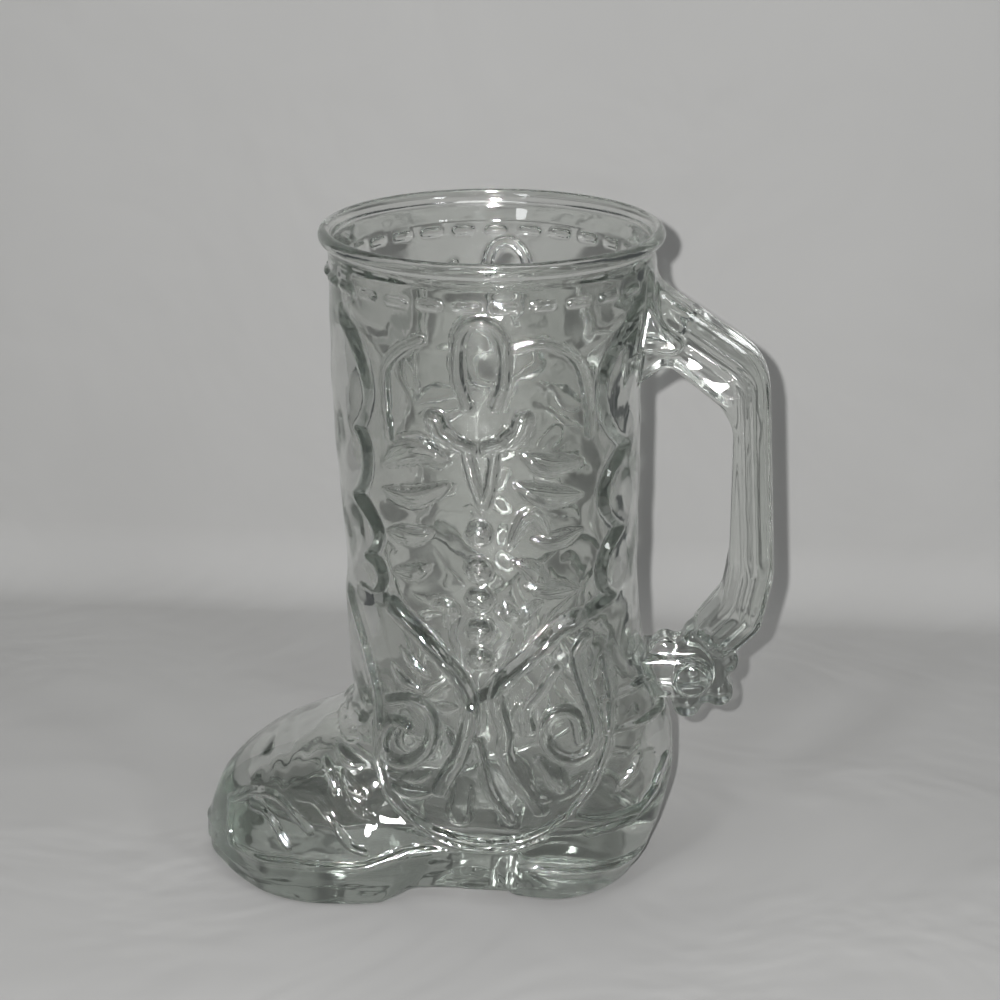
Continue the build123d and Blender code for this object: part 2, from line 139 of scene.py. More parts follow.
def path_distance(u, v, path):
    """Distance from every place of a plane to a polyline."""
    best = np.full(u.shape, FAR)
    for a, b in zip(path[:-1], path[1:]):
        du, dv = b - a
        length2 = du * du + dv * dv
        if length2 == 0:
            continue
        t = np.clip(((u - a[0]) * du + (v - a[1]) * dv) / length2, 0, 1)
        best = np.minimum(best, (u - a[0] - t * du) ** 2 + (v - a[1] - t * dv) ** 2)
    return np.sqrt(best)


def inside(u, v, loop):
    """True where a place lies inside a closed loop."""
    odd = np.zeros(u.shape, bool)
    for a, b in zip(loop, np.roll(loop, -1, axis=0)):
        crosses = (a[1] > v) != (b[1] > v)
        rise = b[1] - a[1] if b[1] != a[1] else TINY
        odd ^= crosses & (u < a[0] + (v - a[1]) * (b[0] - a[0]) / rise)
    return odd


def loop_distance(u, v, loop):
    """Signed distance to a closed loop, negative inside."""
    distance = path_distance(u, v, np.vstack([loop, loop[:1]]))
    return np.where(inside(u, v, loop), -distance, distance)


def rounded(points, radii, steps=8):
    """Polyline with each inner corner turned by a curve of about its own radius."""
    pull = 0.85
    p = [np.array(q, float) for q in points]
    out = [p[0]]
    for a, b, c, r in zip(p[:-2], p[1:-1], p[2:], radii):
        u = (a - b) / np.linalg.norm(a - b)
        w = (c - b) / np.linalg.norm(c - b)
        half = np.arccos(np.clip(u @ w, -1, 1)) / 2
        reach = r / np.tan(half)
        start, stop = b + u * reach, b + w * reach
        middle = b * pull + (start + stop) * (1 - pull) / 2
        for s in np.linspace(0, 1, steps):
            out.append((1 - s) ** 2 * start + 2 * s * (1 - s) * middle + s * s * stop)
    out.append(p[-1])
    return np.array(out)


def smin(a, b, k):
    """Union of two forms with a fillet of about k."""
    h = np.maximum(k - np.abs(a - b), 0) / k
    return np.minimum(a, b) - h * h * k / 4


def smax(a, b, k):
    """Common part of two forms with its edge rounded by about k."""
    h = np.maximum(k - np.abs(a - b), 0) / k
    return np.maximum(a, b) + h * h * k / 4


def oval(front, back, half):
    """Signed distance, near enough, to ovals stacked along Z, from their reaches and half widths."""
    middle = ((back - front) / 2)[None, None, :]
    a = ((back + front) / 2)[None, None, :]
    b = half[None, None, :]
    u = (X - middle) / a
    v = Y / b
    rho = np.sqrt(u * u + v * v) + TINY
    slope = np.sqrt((u / a) ** 2 + (v / b) ** 2) / rho + TINY
    return (rho - 1) / slope


# The leg, ankle and heel counter: height, then reach to front and back and half width
COLUMN = [
    (0.0, 25.5, 34.0, 23.2), (5.0, 26.0, 36.7, 23.6), (12.0, 26.6, 39.3, 24.5),
    (16.4, 27.4, 40.7, 25.0), (23.0, 28.4, 42.2, 25.8), (27.0, 29.2, 42.6, 26.6),
    (32.2, 30.2, 42.7, 27.6), (36.8, 31.0, 42.3, 28.6), (42.0, 31.7, 41.2, 29.7),
    (47.0, 32.4, 39.0, 30.7), (52.5, 33.1, 36.7, 31.6), (57.0, 33.3, 35.4, 32.2),
    (62.6, 33.4, 34.4, 32.8), (68.0, 33.8, 33.8, 33.1), (71.1, 33.9, 33.5, 33.2),
    (74.0, 33.3, 33.3, 33.2), (80.0, 33.4, 33.3, 33.4), (87.4, 34.0, 33.3, 33.7),
    (97.0, 34.7, 33.4, 34.0), (106.7, 35.4, 33.5, 34.4), (118.5, 35.8, 33.5, 34.8),
    (128.0, 36.0, 34.3, 35.2), (137.0, 36.0, 35.5, 35.7), (145.8, 36.1, 36.1, 36.1),
    (151.0, 36.1, 36.1, 36.1),
]
REACH_SOFTEN = 1.6
HALF_SOFTEN = 2.5
levels, fronts, backs, halves = (np.array(c) for c in zip(*COLUMN))
front = along(fronts, levels, REACH_SOFTEN, gz)
back = along(backs, levels, REACH_SOFTEN, gz)
half = along(halves, levels, HALF_SOFTEN, gz)

# The vamp: place from the leg's axis, half width at its base and the ridge's level
VAMP = [
    (-68.6, 2.0, 9.0), (-67.8, 5.0, 13.2), (-66.4, 7.6, 17.6), (-64.4, 10.8, 21.3), (-61.5, 14.6, 24.7),
    (-58.2, 18.0, 28.0), (-53.2, 22.2, 31.6), (-48.3, 25.0, 34.1), (-43.5, 26.6, 36.1), (-38.6, 27.3, 38.1),
    (-33.3, 27.3, 40.6), (-26.0, 26.4, 43.6), (-18.0, 25.0, 45.5), (-8.0, 23.8, 45.5), (4.0, 23.4, 44.0),
]
VAMP_FULLNESS = 2.35
VAMP_BASE = 5.0
VAMP_SOFTEN = 0.9
VAMP_LEAST_HALF = 0.5
VAMP_LEAST_RISE = 1.0
# How much of the wall's thickness moves the sections back, at the toe's tip and half way to the leg
VAMP_SET_BACK_SHARES = [1.0, 0.3]


def vamp(shrink, base):
    """The vamp as domed sections from the toe into the ankle, drawn in by a wall where shrink is above 0."""
    place, width, ridge = (np.array(c) for c in zip(*VAMP))
    place = place + shrink * np.interp(place, [-TOE, -TOE / 2], VAMP_SET_BACK_SHARES)
    w = along(np.maximum(width - shrink, VAMP_LEAST_HALF), place, VAMP_SOFTEN, gx)[:, None, None]
    t = along(ridge - shrink, place, VAMP_SOFTEN, gx)[:, None, None]
    dome = np.maximum(t - base, VAMP_LEAST_RISE)
    rise = np.maximum(Z - base, 0) / dome
    rho = ((Y / w) ** VAMP_FULLNESS + rise ** VAMP_FULLNESS) ** (1 / VAMP_FULLNESS)
    ends = np.maximum(place[0] - X, X - place[-1])
    return np.maximum((rho - 1) * np.minimum(w, dome), ends)


# The sole and heel in plan: place along the boot and half width on the ground
GROUND_PLAN = [
    (-68.4, 0.0), (-68.0, 2.4), (-66.7, 5.2), (-63.8, 9.4), (-61.0, 13.6), (-57.9, 17.4), (-52.9, 22.3),
    (-48.5, 25.1), (-44.1, 26.8), (-40.0, 27.6), (-35.8, 27.8), (-27.9, 27.2), (-18.0, 24.6), (-8.0, 22.0),
    (0.0, 20.6), (7.0, 20.2), (13.0, 21.0), (17.6, 20.9), (21.0, 19.7), (24.4, 17.6), (28.0, 14.2),
    (31.0, 9.6), (32.7, 5.0), (33.2, 0.0),
]
# How far the sides have grown out at the welt's height, along the boot
WELT_GROWTH = [(-68.6, 0.5), (-50.0, 0.9), (-20.0, 1.6), (0.0, 2.6), (34.0, 5.4)]
GROWTH_HEIGHT = 10.0
LEAST_GROWTH_SHARE = -0.2
# Side view of the welt and of the arch under it: place and level
WELT_LINE = [
    (-75, 9.6), (-68.6, 9.2), (-60.0, 8.6), (-52.2, 8.8), (-44.3, 10.4), (-35.6, 10.4), (-29.5, 10.1),
    (-23.7, 11.4), (-17.9, 13.4), (-12.0, 13.7), (-5.4, 13.2), (-1.7, 12.4), (4.8, 10.3), (11.2, 9.3),
    (17.6, 9.1), (23.8, 8.2), (30.0, 7.2), (45.0, 6.6),
]
WELT_SOFTEN = 1.2
WELT_BEAD_R = 0.95
# How far in and how far down the bead's middle lies, as shares of its radius
WELT_BEAD_INSET = 0.75
WELT_BEAD_DROP = 0.2
ARCH_LINE = [
    (-26.0, -3.0), (-22.0, 0.5), (-16.0, 3.9), (-10.1, 5.5), (-5.5, 6.2), (-1.3, 5.9), (1.4, 4.2),
    (4.8, 1.8), (7.5, -1.0), (10.0, -4.0),
]
BELOW_GROUND = -9
ARCH_SLOPE_SHARE = 0.85
SOLE_TOP_ROUND = 1.0
SOLE_FOOT_ROUND = 1.3
ARCH_ROUND = 1.6
BEAD_FILLET = 0.5


def bottom():
    """The thick sole and heel, with a welt lip on top and the arch cut out of its underside."""
    half_loop = smooth_path(GROUND_PLAN, 6)
    loop = np.vstack([half_loop, (half_loop * (1, -1))[-2:0:-1]])
    ground = loop_distance(PLAN_X, PLAN_Y, loop)
    growth = np.interp(gx, *zip(*WELT_GROWTH))[:, None, None]
    lift = np.clip(gz / GROWTH_HEIGHT, LEAST_GROWTH_SHARE, 1.0)
    sides = (ground[:, :, None] - growth * lift[None, None, :]).astype(np.float32)
    welt_x, welt_z = zip(*WELT_LINE)
    welt = along(welt_z, welt_x, WELT_SOFTEN, gx)[:, None, None]
    arch_x, arch_z = zip(*ARCH_LINE)
    arch = np.interp(gx, arch_x, arch_z, left=BELOW_GROUND, right=BELOW_GROUND)[:, None, None]
    bead = np.hypot(sides + WELT_BEAD_R * WELT_BEAD_INSET, Z - welt + WELT_BEAD_R * WELT_BEAD_DROP)
    bead = bead - WELT_BEAD_R
    solid = smin(smax(sides, Z - welt, SOLE_TOP_ROUND), bead, BEAD_FILLET)
    solid = smax(solid, -Z, SOLE_FOOT_ROUND)
    return smax(solid, (arch - Z) * ARCH_SLOPE_SHARE, ARCH_ROUND)


# Where the upper ends inside the rim above and inside the sole below
UPPER_TOP = RIM_LEVEL + 2.0
UPPER_FOOT = 4.0
INSTEP_FILLET = 5.0


def outer_form():
    """The boot's outer surface without the rim, handle, spur and ornament."""
    column = np.maximum(oval(front, back, half), Z - UPPER_TOP)
    upper = smin(column, vamp(0, VAMP_BASE), INSTEP_FILLET)
    return np.maximum(upper, UPPER_FOOT - Z)


# Wall thickness by level, thick at the foot and drawn in to nothing over the rim's bead
WALL_LINE = [
    (0, 6), (20, 5), (60, WALL), (135, WALL),
    (RIM_LEVEL - 1.5, NECK_WALL), (HEIGHT - 1.8, 1.0), (HEIGHT, 0.2),
]
TOE_SPACE_BASE = FLOOR_LEVEL - 6.0
INNER_INSTEP_FILLET = 7.0
FLOOR_ROUND = 6.0


def hollow():
    """The drink's space, from the mouth down to the floor."""
    wall = np.interp(gz, *zip(*WALL_LINE))
    inner = oval(front - wall, back - wall, half - wall)
    space = smin(inner, vamp(WALL, TOE_SPACE_BASE), INNER_INSTEP_FILLET)
    return smax(space, FLOOR_LEVEL - Z, FLOOR_ROUND)


# The handle's outline, outer side then inner side, and the radius at each corner between the ends
HANDLE_OUTER = [
    (33.0, 148.4), (36.4, 144.6), (37.9, 142.2), (61.9, 126.0), (64.7, 76.0), (62.0, 62.6), (54.3, 54.6),
]
HANDLE_OUTER_ROUNDS = [3.0, 5.0, 12.0, 16.0, 4.0]
HANDLE_INNER = [
    (46.6, 61.6), (49.0, 65.0), (53.0, 70.4), (54.3, 79.0), (54.3, 111.5), (51.0, 116.6), (39.5, 125.6),
    (33.0, 121.0),
]
HANDLE_INNER_ROUNDS = [2.5, 5.0, 8.0, 9.0, 5.0, 2.5]
HANDLE_BEVEL = 4.9
HANDLE_BEVEL_SIDE = 3.2
HANDLE_ROUND = 1.8
HANDLE_BEVEL_ROUND = 0.5
# Ridges along the bar: distance from its outer edge, width and height
HANDLE_RIDGES = [(3.4, 1.6, 0.7), (6.2, 1.4, 0.55)]
RIDGES_START = HANDLE_HALF / 3
STRAP_ROUND = 1.4
STRAP = [
    (30.0, 148.0), (35.8, 147.6), (36.3, 141.4), (37.5, 137.1), (39.1, 134.6), (40.9, 133.1), (42.2, 132.0),
    (42.5, 130.9), (42.1, 129.8), (41.0, 129.0), (39.4, 128.6), (37.5, 128.9), (35.7, 129.3), (30.0, 129.0),
]


def side_map(values):
    """A map over the side view laid through the boot's whole width."""
    return values.astype(np.float32)[:, None, :]


def handle_form():
    """The bar behind the leg, bevelled outside and rounded inside, with the strap ends at its upper root."""
    outer = rounded(HANDLE_OUTER, HANDLE_OUTER_ROUNDS)
    inner = rounded(HANDLE_INNER, HANDLE_INNER_ROUNDS)
    outline = side_map(loop_distance(SIDE_X, SIDE_Z, np.vstack([outer, inner])))
    to_outer = side_map(-path_distance(SIDE_X, SIDE_Z, outer))
    flank = Y - HANDLE_HALF
    bar = smax(outline, flank, HANDLE_ROUND)
    tilt = 1 / np.hypot(1 / HANDLE_BEVEL, 1 / HANDLE_BEVEL_SIDE)
    bevel = (to_outer / HANDLE_BEVEL + flank / HANDLE_BEVEL_SIDE + 1) * tilt
    bar = smax(bar, np.where(outline < HANDLE_BEVEL_ROUND, bevel, bar), HANDLE_BEVEL_ROUND)
    for away, width, height in HANDLE_RIDGES:
        swell = np.clip(1 - ((to_outer + away) / width) ** 2, 0, 1)
        bar = bar - height * swell * np.clip(Y - RIDGES_START, 0, 1)
    strap = side_map(loop_distance(SIDE_X, SIDE_Z, smooth_path(STRAP, 4)))
    strap = smax(strap, Y - STRAP_HALF, STRAP_ROUND)
    return bar, strap


# The spur: lobes round a disc, held in a yoke
ROWEL_X, ROWEL_Z = 46.6, 51.0
ROWEL_LOBES = 6
ROWEL_FIRST = radians(23.0)
LOBE_R = 3.3
LOBE_REACH = 8.0
ROWEL_HALF = 4.5
ROWEL_BODY_R = 8.2
YOKE_HALF = 7.8
YOKE_R = 4.8
YOKE_START = 28.0
HUB_R = 4.0
HUB_STAND = 1.2
ROWEL_ROUND = 1.8
SPUR_ROUND = 1.2
SPUR_FILLET = 0.8


def spur_form():
    """The rowel between the two cheeks of its yoke."""
    disc = np.hypot(SIDE_X - ROWEL_X, SIDE_Z - ROWEL_Z)
    rowel = disc - ROWEL_BODY_R
    for lobe in range(ROWEL_LOBES):
        a = ROWEL_FIRST + tau * lobe / ROWEL_LOBES
        tip_x, tip_z = ROWEL_X + LOBE_REACH * cos(a), ROWEL_Z + LOBE_REACH * sin(a)
        tip = np.hypot(SIDE_X - tip_x, SIDE_Z - tip_z) - LOBE_R
        rowel = smin(rowel, tip, SPUR_ROUND)
    rowel = smax(side_map(rowel), Y - ROWEL_HALF, ROWEL_ROUND)
    bar = np.maximum(np.abs(SIDE_Z - ROWEL_Z) - YOKE_R, np.maximum(SIDE_X - ROWEL_X, YOKE_START - SIDE_X))
    cheek = np.minimum(disc - YOKE_R, bar)
    yoke = smax(side_map(cheek), Y - YOKE_HALF, SPUR_ROUND)
    hub = smax(side_map(disc - HUB_R), Y - YOKE_HALF - HUB_STAND, SPUR_ROUND)
    return smin(smin(rowel, yoke, SPUR_FILLET), hub, SPUR_FILLET)


def rim_form():
    """The round bead at the mouth."""
    radial = np.sqrt(X * X + Y * Y)
    return np.sqrt((radial - RIM_R + BEAD_R) ** 2 + (Z - HEIGHT + BEAD_R) ** 2) - BEAD_R


# Ornament on the boot's sides, as heights over the side view
relief = np.zeros_like(SIDE_X)
PATH_STEPS = 6
LEAF_STEPS = 8
LEAF_FULLNESS = 0.7
LEAF_END = 0.02
ARC_STEPS = 10
DOT = 0.1


def near(path, reach):
    """The part of the side view within reach of a path."""
    cols = (gx > path[:, 0].min() - reach) & (gx < path[:, 0].max() + reach)
    rows = (gz > path[:, 1].min() - reach) & (gz < path[:, 1].max() + reach)
    return np.ix_(cols, rows)


def raise_line(points, width, height):
    """A rounded cord along points, standing height above the surface. Two points give a straight one."""
    path = smooth_path(points, PATH_STEPS) if len(points) > 2 else np.array(points, float)
    block = near(path, width)
    d = path_distance(SIDE_X[block], SIDE_Z[block], path) / (width / 2)
    relief[block] = np.maximum(relief[block], height * np.sqrt(np.clip(1 - d * d, 0, 1)))


def raise_leaf(points, width, height):
    """A fold along points, widest and highest in its middle and pointed at both ends."""
    path = smooth_path(points, LEAF_STEPS)
    block = near(path, width)
    u, v = SIDE_X[block], SIDE_Z[block]
    best = np.full(u.shape, FAR)
    place = np.zeros(u.shape)
    for number, (a, b) in enumerate(zip(path[:-1], path[1:])):
        du, dv = b - a
        t = np.clip(((u - a[0]) * du + (v - a[1]) * dv) / (du * du + dv * dv), 0, 1)
        away = np.hypot(u - a[0] - t * du, v - a[1] - t * dv)
        place = np.where(away < best, (number + t) / (len(path) - 1), place)
        best = np.minimum(best, away)
    swell = np.sin(pi * np.clip(place, LEAF_END, 1 - LEAF_END)) ** LEAF_FULLNESS
    bump = height * swell * np.sqrt(np.clip(1 - (2 * best / (width * swell)) ** 2, 0, 1))
    relief[block] = np.maximum(relief[block], bump)


def arcs(points):
    """A scalloped path: each pair of cusps is joined by an arc bulging through the point between them."""
    path = []
    for a, m, b in zip(points[:-2:2], points[1:-1:2], points[2::2]):
        a, m, b = (np.array(q, float) for q in (a, m, b))
        centre = 2 * m - (a + b) / 2
        for s in np.linspace(0, 1, ARC_STEPS):
            path.append((1 - s) ** 2 * a + 2 * s * (1 - s) * centre + s * s * b)
    return np.array(path)


def mirrored(points):
    """The same points on the other side of the leg's axis."""
    return [(-x, z) for x, z in points]


def dot(x, z):
    """A line so short that it makes a round stud."""
    return [(x - DOT / 2, z), (x + DOT / 2, z)]


def stitch(x, z, slope):
    """A straight stitch on the counter, centred on a place and turned by degrees."""
    half_length = 2.6
    dx, dz = half_length * cos(radians(slope)), half_length * sin(radians(slope))
    return [(x - dx, z - dz), (x + dx, z + dz)]


# Places from the leg's axis and levels. Scallops go from cusp to cusp through the point between them
FRONT_SCALLOPS = [
    (-30.4, 137.8), (-24.6, 125.7), (-27.0, 114.6), (-24.9, 107.1), (-27.8, 98.2), (-22.8, 91.3),
    (-25.2, 84.6), (-22.2, 81.5), (-23.4, 76.0),
]
BACK_SCALLOPS = [
    (31.7, 137.7), (25.3, 124.2), (30.5, 108.8), (26.0, 100.1), (29.5, 90.4), (25.8, 82.3), (28.0, 75.0),
]
V_FRONT = [
    (-19.6, 74.4), (-18.9, 74.0), (-13.2, 69.8), (-7.5, 63.7), (-4.1, 59.0), (-2.4, 54.0), (-2.1, 49.7),
    (-4.8, 39.9), (-8.5, 32.3), (-10.0, 29.0),
]
V_BACK = [
    (21.0, 72.6), (17.3, 71.2), (13.1, 67.2), (7.8, 62.5), (4.1, 58.4), (3.8, 54.0), (5.5, 47.4),
    (6.1, 39.4), (13.1, 25.8),
]
PULL_STRAP = [
    (-2.4, 123.6), (-4.2, 130.0), (-4.1, 137.5), (-2.6, 141.4), (0.6, 142.7), (3.6, 141.4), (5.6, 137.5),
    (5.6, 130.0), (3.8, 123.6),
]
HORN = [(9.4, 120.5), (8.1, 116.8), (4.8, 115.1), (1.6, 113.9)]
HORN_TIP = [(9.5, 120.0), (8.4, 117.4), (6.6, 116.0)]
STUD_LEVELS = (94.5, 86.1, 79.1, 71.5, 64.6)
SCROLL_FRONT = [
    (-21.0, 50.5), (-17.2, 52.4), (-13.7, 52.5), (-11.2, 49.7), (-11.2, 44.3), (-13.0, 39.1),
    (-16.8, 35.2), (-21.3, 34.5), (-23.5, 37.1), (-22.7, 41.8), (-20.0, 45.3), (-17.4, 45.0),
]
SCROLL_BACK = [
    (22.1, 43.9), (20.9, 49.6), (17.6, 51.5), (15.0, 49.3), (14.4, 44.7), (16.6, 40.7), (21.0, 38.9),
    (24.7, 41.0), (26.0, 45.7), (24.6, 51.9), (22.5, 58.4), (21.2, 64.7), (22.8, 67.8),
]
FOOT_EDGE = [
    (-24.7, 34.0), (-21.3, 26.4), (-15.4, 20.6), (-9.0, 17.8), (-3.5, 16.7), (2.5, 16.6), (8.2, 17.4),
    (14.0, 19.8), (19.6, 23.4), (26.6, 21.8), (35.6, 21.6),
]
COUNTER_STITCHES = [(26.7, 18.4, 5), (32.3, 19.4, 20), (37.4, 23.4, 50), (40.2, 29.5, 68)]
DROP_HEIGHT = 2.9

# Raised lines: their width and height, then the points of each one
LINES = {
    "throat cords": (3.7, 2.0, [V_FRONT, V_BACK]),
    "pull strap": (2.4, 2.1, [PULL_STRAP]),
    "horns": (3.2, 2.2, [HORN, mirrored(HORN)]),
    "horn tips": (4.6, 2.7, [HORN_TIP, mirrored(HORN_TIP)]),
    "stem": (2.4, 2.0, [
        [(-2.6, 113.0), (-0.9, 106.0), (0.8, 101.3)],
        [(3.4, 113.0), (2.6, 106.0), (1.2, 101.3)],
    ]),
    "studs": (5.6, 2.8, [dot(0, level) for level in STUD_LEVELS]),
    "shoulder arcs": (1.9, 1.2, [
        [(8.0, 136.5), (14.0, 137.2), (20.0, 133.1), (22.6, 123.8), (23.4, 114.5)],
        [(-12.0, 137.9), (-16.5, 135.0), (-20.2, 129.9), (-20.6, 123.1), (-19.8, 114.3)],
    ]),
    "scrolls": (2.7, 1.8, [SCROLL_FRONT, SCROLL_BACK]),
    "line down the ankle's front": (2.0, 1.5, [
        [(-31.2, 72.9), (-27.8, 63.2), (-24.8, 52.0), (-24.7, 40.7), (-24.7, 34.0)],
    ]),
    "line down the ankle's back": (2.0, 1.4, [
        [(27.2, 61.6), (28.9, 51.8), (28.7, 42.6), (26.5, 35.4), (24.4, 30.4), (19.9, 24.1)],
    ]),
    "drop": (6.2, DROP_HEIGHT, [[(-5.35, 24.2), (-5.3, 23.4)]]),
    "long rays": (2.2, 1.5, [
        [(11.1, 47.4), (10.6, 52.6), (13.9, 57.4), (16.5, 62.0)],
        [(-0.6, 44.4), (1.8, 30.9), (6.3, 22.9)],
    ]),
    "short rays": (2.0, 1.4, [
        [(5.4, 39.4), (8.7, 31.2), (14.3, 28.5)],
        [(13.2, 39.5), (17.7, 31.1)],
    ]),
    "line round the foot": (1.9, 1.5, [FOOT_EDGE]),
    "second line round the foot": (1.4, 1.1, [[(x + 0.2, z - 1.9) for x, z in FOOT_EDGE[2:8]]]),
    "counter stitches": (1.7, 1.2, [stitch(*place) for place in COUNTER_STITCHES]),
    "toe stitching": (1.6, 1.2, [
        [(-61.0, 18.8), (-55.6, 22.6), (-50.2, 24.2), (-46.7, 23.3), (-43.3, 20.9), (-39.9, 18.0)],
        [(-54.6, 20.3), (-51.3, 20.2), (-48.0, 17.6), (-46.3, 15.1), (-45.0, 13.7)],
        [(-42.6, 24.8), (-38.9, 24.7), (-35.7, 21.8), (-34.0, 19.7), (-30.6, 15.1), (-27.1, 13.4)],
    ]),
    "toe's corner": (1.5, 1.1, [[(-60.6, 8.9), (-61.1, 12.7), (-60.9, 18.6)]]),
    "spur's band on the counter": (1.5, 1.2, [
        [(27.0, 52.0), (33.0, 51.8), (40.0, 51.4)],
        [(27.0, 44.4), (33.0, 44.0), (40.0, 43.6)],
    ]),
}

# Leaves and folds: their height as a share of their width, then three points and the width of each one
LEAVES = {
    "pleats and fleur marks beside the studs": (0.36, [
        ((-21.6, 107.5), (-14.0, 112.8), (-6.8, 111.0), 6.5),
        ((-21.8, 101.5), (-14.0, 101.6), (-6.6, 105.4), 4.2),
        ((-21.0, 91.6), (-16.0, 92.2), (-10.0, 93.8), 4.6),
        ((-19.8, 82.4), (-15.0, 83.6), (-10.6, 86.4), 4.0),
        ((21.6, 108.6), (15.0, 109.4), (8.8, 112.6), 4.4),
        ((21.8, 101.0), (14.5, 102.2), (7.6, 105.8), 5.0),
        ((6.2, 91.0), (11.0, 98.4), (15.4, 91.4), 3.6),
        ((21.6, 92.8), (16.5, 91.6), (11.0, 92.6), 3.8),
        ((7.4, 88.0), (12.0, 84.8), (14.4, 79.4), 3.8),
        ((21.4, 79.0), (15.5, 80.2), (9.6, 81.8), 3.6),
        ((-8.6, 79.0), (-6.9, 75.4), (-7.6, 71.6), 2.6),
        ((-10.6, 76.4), (-7.4, 76.9), (-4.6, 75.2), 2.4),
        ((5.4, 78.4), (6.6, 75.4), (10.4, 75.0), 2.6),
        ((9.0, 72.4), (10.4, 75.4), (13.6, 78.0), 2.6),
    ]),
    "leaves between the rays": (0.37, [
        ((6.6, 40.6), (8.4, 36.2), (11.0, 30.8), 4.6),
        ((14.4, 38.6), (16.8, 34.4), (19.0, 29.8), 4.6),
    ]),
    "fold under the front scroll": (0.382, [((-22.5, 29.8), (-17.0, 27.4), (-11.0, 28.4), 3.4)]),
    "folds on the vamp and round the scrolls": (0.4, [
        ((-36.5, 40.6), (-32.6, 38.0), (-29.2, 37.4), 2.4),
        ((-35.0, 36.0), (-31.6, 33.4), (-28.0, 32.6), 2.6),
        ((-33.0, 31.6), (-30.0, 28.0), (-26.6, 26.2), 2.4),
        ((-37.6, 33.4), (-35.2, 30.0), (-33.8, 26.0), 2.2),
        ((-31.6, 26.6), (-28.4, 23.0), (-24.2, 20.6), 2.2),
        ((-19.0, 30.6), (-15.2, 31.2), (-11.4, 33.6), 2.4),
        ((-20.4, 60.6), (-17.4, 57.0), (-13.0, 55.6), 2.6),
        ((-17.6, 65.4), (-14.6, 61.6), (-10.8, 59.2), 2.4),
        ((8.6, 45.4), (7.8, 50.4), (9.2, 55.2), 2.2),
        ((-8.0, 47.0), (-7.2, 42.6), (-8.6, 38.4), 2.0),
        ((17.0, 28.0), (21.0, 31.0), (23.4, 35.2), 2.4),
        ((30.0, 28.4), (33.6, 32.0), (35.6, 37.0), 2.4),
    ]),
}

for width, height, runs in LINES.values():
    for run in runs:
        raise_line(run, width, height)
for height_share, leaves in LEAVES.values():
    for *points, width in leaves:
        raise_leaf(points, width, height_share * width)

# The drop's tail, a wedge that rises from nothing at its top to the knob's height and leans to the front
DROP_TOP = 33.5
DROP_RISE = 9.0
DROP_X = -4.0
DROP_LEAN = 1.3
DROP_HALF = 1.9
DROP_WIDENING = 1.1
DROP_FLANK = 3.0


def drop_tail():
    """Heights of the drop's tail over the side view."""
    fall = np.clip((DROP_TOP - SIDE_Z) / DROP_RISE, 0, 1)
    across = 1 - np.abs(SIDE_X - DROP_X + DROP_LEAN * fall) / (DROP_HALF + DROP_WIDENING * fall)
    return DROP_HEIGHT * fall * np.clip(DROP_FLANK * across, 0, 1) * (SIDE_Z > DROP_TOP - DROP_RISE)


relief = np.maximum(relief, drop_tail())

# The side panel lies lower than the rest of the leg: its edge is a ramp along the scallops and the V, and it
# rises to nothing toward its top, sooner along its edge than in its middle
PANEL_DEPTH = 1.75
PANEL_RAMP = 2.6
PANEL_TOP = 143.0
PANEL_FADE_EDGE = 136.0
PANEL_FADE_MIDDLE = 121.0
PANEL_EDGE_WIDTH = 2.0
PANEL_MIDDLE_WAY = 9.0
PANEL_ROOF = 150.0
EDGE_SHARPNESS = 8


def panel_maps():
    """Over the side view, the share of its depth that the panel has reached and how near its edge lies, the
    latter used as painted shade.
    """
    loop = np.vstack([
        arcs(FRONT_SCALLOPS), V_FRONT[1:6], V_BACK[4::-1], arcs(BACK_SCALLOPS)[::-1],
        [(BACK_SCALLOPS[0][0], PANEL_ROOF), (FRONT_SCALLOPS[0][0], PANEL_ROOF)],
    ])
    beyond = loop_distance(SIDE_X, SIDE_Z, loop)
    depth = np.clip(0.5 - beyond / PANEL_RAMP, 0, 1)
    middle = np.clip((-beyond - PANEL_EDGE_WIDTH) / PANEL_MIDDLE_WAY, 0, 1)
    fade_end = PANEL_FADE_EDGE + (PANEL_FADE_MIDDLE - PANEL_FADE_EDGE) * middle
    fade = np.clip((PANEL_TOP - SIDE_Z) / (PANEL_TOP - fade_end), 0, 1)
    fade = fade * fade * (3 - 2 * fade)
    return depth * fade, np.clip(EDGE_SHARPNESS * depth * (1 - depth), 0, 1) * fade


PANEL, PANEL_EDGE_SHADE = panel_maps()

# Painted shade on steep flanks, by their slope, with the least share on those that don't face up
FLANK_SHADE = 0.75
FLANK_SLOPE_START = 0.6
FLANK_SLOPE_RANGE = 1.4
FLANK_LEAST_SHARE = 0.35
FLAT_SLOPE = 0.01


def flank_shade_map():
    """Painted shade on the steep flanks of the ornament, most of all on those that face up."""
    along_x, along_z = np.gradient(relief, VOXEL)
    slope = np.hypot(along_x, along_z)
    facing_up = np.clip(-along_z / (slope + FLAT_SLOPE), 0, 1)
    steep = np.clip((slope - FLANK_SLOPE_START) / FLANK_SLOPE_RANGE, 0, 1)
    return FLANK_SHADE * steep * (FLANK_LEAST_SHARE + (1 - FLANK_LEAST_SHARE) * facing_up)


# Painted shade over the side view: the panel's edge and the ornament's steep flanks
PAINTED_SHADE_MAP = np.maximum(PANEL_EDGE_SHADE, flank_shade_map())


